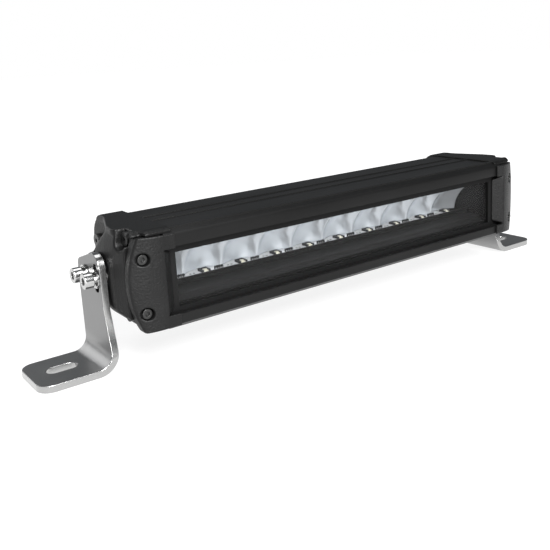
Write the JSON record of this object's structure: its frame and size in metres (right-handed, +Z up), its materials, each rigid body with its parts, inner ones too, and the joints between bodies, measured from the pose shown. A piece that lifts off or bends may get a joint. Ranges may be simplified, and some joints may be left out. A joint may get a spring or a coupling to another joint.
{
  "type": "led light bar",
  "caption": "Slim auxiliary light bar: a finned black housing with a row of mirror cups behind a clear lens, tilting on stainless feet.",
  "frame": {"origin": "on the mounting surface, under the middle of the whole object", "axes": "+X to the right along the bar, +Y to its back, +Z up; the lens faces -Y"},
  "size_m": [0.404, 0.075, 0.0785],
  "materials": {
    "black_extrusion": "satin black anodised with fine lines along its length",
    "black_casting": "satin black powder coat over a cast surface",
    "cover_casting": "satin black powder coat",
    "clear_lens": "clear polished hard-coated sheet",
    "black_rubber": "matt black silicone",
    "mirror_plating": "vacuum-metallised bright mirror",
    "white_board": "white solder resist",
    "led_phosphor": "pale yellow phosphor under a clear dome",
    "grey_pad": "soft grey thermal pad",
    "black_moulding": "satin black moulding",
    "green_board": "green solder resist",
    "dark_components": "moulded component cases",
    "red_lead": "wire insulation",
    "black_nylon": "moulded nylon",
    "stainless": "bright turned stainless steel",
    "dark_steel": "black-oxide steel",
    "brass_insert": "knurled brass",
    "brushed_stainless": "brushed stainless faces with bright cut edges"
  },
  "bodies": {
    "bracket_left": {"bracket_left": "brushed_stainless"},
    "lamp": {"housing": "black_extrusion", "lens": "clear_lens", "lens_seal": "black_rubber", "reflector_strip": "mirror_plating", "light_board": "white_board", "leds": "led_phosphor", "light_board_screws": "stainless", "thermal_pad": "grey_pad", "lower_bezel": "black_moulding", "side_trim_left": "black_moulding", "side_trim_right": "black_moulding", "driver_board": "green_board", "driver_parts": "dark_components", "driver_pillars": "stainless", "internal_leads": "red_lead", "cable_gland": "black_nylon", "gland_nut": "stainless", "gland_seal": "black_rubber", "vent_plug": "black_nylon", "cap_gasket_left": "black_rubber", "cap_gasket_right": "black_rubber", "end_cap_left": "black_casting", "end_cap_right": "black_casting", "cap_cover_left": "cover_casting", "cap_cover_right": "cover_casting", "cap_screws_left": "stainless", "cap_screws_right": "stainless", "cover_screws_left": "dark_steel", "cover_screws_right": "dark_steel", "inserts_left": "brass_insert", "inserts_right": "brass_insert", "pivot_screw_left": "stainless", "pivot_screw_right": "stainless", "clamp_screw_left": "stainless", "clamp_screw_right": "stainless", "flat_washers_left": "stainless", "flat_washers_right": "stainless", "spring_washers_left": "stainless", "spring_washers_right": "stainless"},
    "bracket_right": {"bracket_right": "brushed_stainless"}
  },
  "joints": [
    {"name": "tilt", "type": "hinge", "parent": "bracket_left", "child": "lamp", "pos_m": [-0.16, 0.01, 0.051], "axis": [1, 0, 0], "range_deg": [-20, 20]},
    {"name": "right_foot_tilt", "type": "hinge", "parent": "lamp", "child": "bracket_right", "pos_m": [0.16, 0.01, 0.051], "axis": [1, 0, 0], "range_deg": [-20, 20]}
  ],
  "couplings": [
    {"joint": "right_foot_tilt", "follows": "tilt", "ratio": -1}
  ]
}
